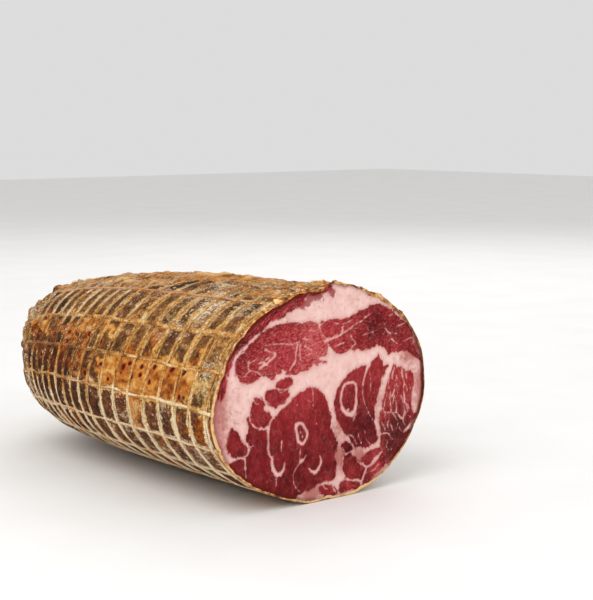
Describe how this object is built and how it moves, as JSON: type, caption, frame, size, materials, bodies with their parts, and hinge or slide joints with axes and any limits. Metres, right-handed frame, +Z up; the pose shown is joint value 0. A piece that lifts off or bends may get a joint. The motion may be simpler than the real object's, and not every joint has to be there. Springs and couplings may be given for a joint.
{
  "type": "coppa",
  "caption": "Cut piece of netted, air-cured coppa lying on its side, with a mottled mould-dusted casing, an elastic net drawn tight round it and one flat marbled cut face.",
  "frame": {"origin": "middle of the bounding box, at the height of the surface that the piece lies on", "axes": "+X out of the cut face, along the roll; +Y to the right of the cut face when it is looked at; +Z up"},
  "size_m": [0.2166, 0.1185, 0.0905],
  "materials": {
    "cured_meat": "matte dried casing, moist satin cut face",
    "net_yarn": "matte twisted yarn"
  },
  "bodies": {
    "root": {"meat": "cured_meat", "net": "net_yarn"}
  },
  "joints": []
}
